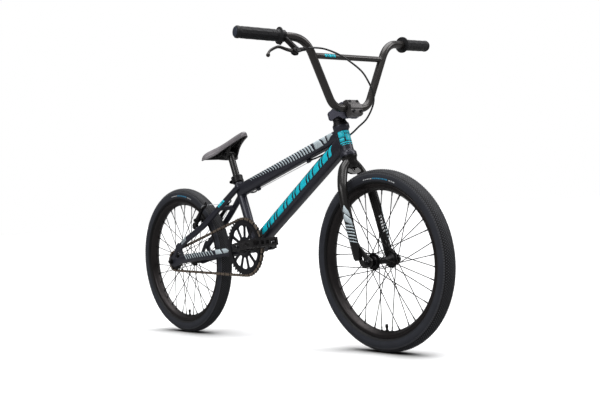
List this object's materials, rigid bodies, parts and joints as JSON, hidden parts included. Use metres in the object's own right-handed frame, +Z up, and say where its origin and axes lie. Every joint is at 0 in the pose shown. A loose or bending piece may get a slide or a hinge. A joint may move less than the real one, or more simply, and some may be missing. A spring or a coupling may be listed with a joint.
{
  "type": "bmx bike",
  "caption": "BMX bike with steel frame, straight fork, high-rise handlebar with crossbar, spoked wheels, one-speed chain drive, platform pedals, saddle and a hand-operated rear rim brake.",
  "frame": {"origin": "the point on the ground under the middle of the rear tyre, in the bike's middle plane", "axes": "+X forward along the ground, +Y to the rider's left, +Z up; the chain is on the right, at -Y"},
  "size_m": [1.45, 0.725, 0.8849],
  "materials": {
    "frame_paint": "satin charcoal paint",
    "black_paint": "satin warm black paint",
    "stem_alloy": "satin grey, faceted",
    "black_metal": "satin black",
    "dark_steel": "black oxide",
    "spoke_steel": "drawn steel wire",
    "chain_steel": "bronze-brown",
    "bright_steel": "bright ground steel",
    "tyre_rubber": "charcoal rubber with a fine tread",
    "grip_rubber": "matte black",
    "saddle_plastic": "dark grey semi-gloss",
    "pedal_plastic": "moulded black",
    "black_rubber": "satin black"
  },
  "bodies": {
    "frame": {"frame": "frame_paint", "headset_bearing_lower": "bright_steel", "headset_bearing_upper": "bright_steel", "bottom_bracket_cup_right": "black_metal", "bottom_bracket_cup_left": "black_metal", "seat_clamp": "black_metal", "seat_clamp_bolt": "dark_steel", "rear_axle": "dark_steel", "rear_axle_nut_right": "dark_steel", "rear_axle_nut_left": "dark_steel", "chain": "chain_steel", "cable_housing_middle": "black_rubber", "cable_housing_rear": "black_rubber", "brake_cable": "bright_steel"},
    "steering": {"fork": "black_paint", "headset_cover": "black_metal", "stem": "stem_alloy", "stem_faceplate": "stem_alloy", "faceplate_bolt_1": "dark_steel", "faceplate_bolt_2": "dark_steel", "faceplate_bolt_3": "dark_steel", "faceplate_bolt_4": "dark_steel", "steerer_cap": "black_metal", "handlebar": "black_paint", "grip_left": "grip_rubber", "grip_right": "grip_rubber", "lever_bracket": "black_metal", "barrel_adjuster": "black_metal", "cable_housing_front": "black_rubber", "front_axle": "dark_steel", "front_axle_nut_right": "dark_steel", "front_axle_nut_left": "dark_steel"},
    "front_wheel": {"front_tyre": "tyre_rubber", "front_rim": "black_metal", "front_hub": "black_metal", "front_spokes_right": "spoke_steel", "front_spokes_left": "spoke_steel", "front_valve": "black_rubber"},
    "rear_wheel": {"rear_tyre": "tyre_rubber", "rear_rim": "black_metal", "rear_hub": "black_metal", "rear_spokes_right": "spoke_steel", "rear_spokes_left": "spoke_steel", "rear_valve": "black_rubber"},
    "freewheel": {"freewheel": "dark_steel"},
    "crankset": {"chainring": "black_metal", "crank_spindle": "bright_steel", "crank_arm_right": "black_metal", "crank_arm_left": "black_metal", "pedal_axle_right": "bright_steel", "pedal_axle_left": "bright_steel"},
    "pedal_right": {"pedal_right": "pedal_plastic"},
    "pedal_left": {"pedal_left": "pedal_plastic"},
    "brake_lever": {"brake_lever": "black_metal"},
    "brake_arm_right": {"brake_arm_right": "black_metal", "brake_pad_right": "black_rubber"},
    "brake_arm_left": {"brake_arm_left": "black_metal", "brake_pad_left": "black_rubber"},
    "seat_post": {"seat_post": "black_metal"},
    "saddle": {"saddle": "saddle_plastic"}
  },
  "joints": [
    {"name": "steering_turn", "type": "hinge", "parent": "frame", "child": "steering", "pos_m": [0.93385, 0, 0.24144], "axis": [-0.2756, 0, 0.9613], "range_deg": [-75, 75]},
    {"name": "front_wheel_spin", "type": "hinge", "parent": "steering", "child": "front_wheel", "pos_m": [0.955, 0, 0.2475], "axis": [0, 1, 0], "continuous": true},
    {"name": "rear_wheel_spin", "type": "hinge", "parent": "frame", "child": "rear_wheel", "pos_m": [0, 0, 0.2475], "axis": [0, 1, 0], "continuous": true},
    {"name": "crank_spin", "type": "hinge", "parent": "frame", "child": "crankset", "pos_m": [0.4, 0, 0.292], "axis": [0, 1, 0], "continuous": true},
    {"name": "freewheel_spin", "type": "hinge", "parent": "frame", "child": "freewheel", "pos_m": [0, 0, 0.2475], "axis": [0, 1, 0], "continuous": true},
    {"name": "pedal_right_spin", "type": "hinge", "parent": "crankset", "child": "pedal_right", "pos_m": [0.57446, -0.13, 0.30573], "axis": [0, 1, 0], "continuous": true},
    {"name": "pedal_left_spin", "type": "hinge", "parent": "crankset", "child": "pedal_left", "pos_m": [0.22554, 0.13, 0.27827], "axis": [0, 1, 0], "continuous": true},
    {"name": "lever_pull", "type": "hinge", "parent": "steering", "child": "brake_lever", "pos_m": [0.89265, -0.21, 0.81323], "axis": [-0.8192, 0, -0.5736], "range_deg": [0, 25]},
    {"name": "brake_arm_right_turn", "type": "hinge", "parent": "frame", "child": "brake_arm_right", "pos_m": [0.128, -0.04, 0.365], "axis": [-0.6762, 0, 0.7367], "range_deg": [0, 2.7]},
    {"name": "brake_arm_left_turn", "type": "hinge", "parent": "frame", "child": "brake_arm_left", "pos_m": [0.128, 0.04, 0.365], "axis": [-0.6762, 0, 0.7367], "range_deg": [-2.7, 0]},
    {"name": "seat_height", "type": "slide", "parent": "frame", "child": "seat_post", "axis": [-0.3322, 0, 0.9432], "range_m": [-0.05, 0.06]},
    {"name": "saddle_tilt", "type": "hinge", "parent": "seat_post", "child": "saddle", "pos_m": [0.29437, 0, 0.59194], "axis": [0, 1, 0], "range_deg": [-12, 12]}
  ],
  "couplings": [
    {"joint": "freewheel_spin", "follows": "crank_spin", "ratio": 2.75},
    {"joint": "brake_arm_right_turn", "follows": "lever_pull", "ratio": 0.1078},
    {"joint": "brake_arm_left_turn", "follows": "lever_pull", "ratio": -0.1078}
  ]
}
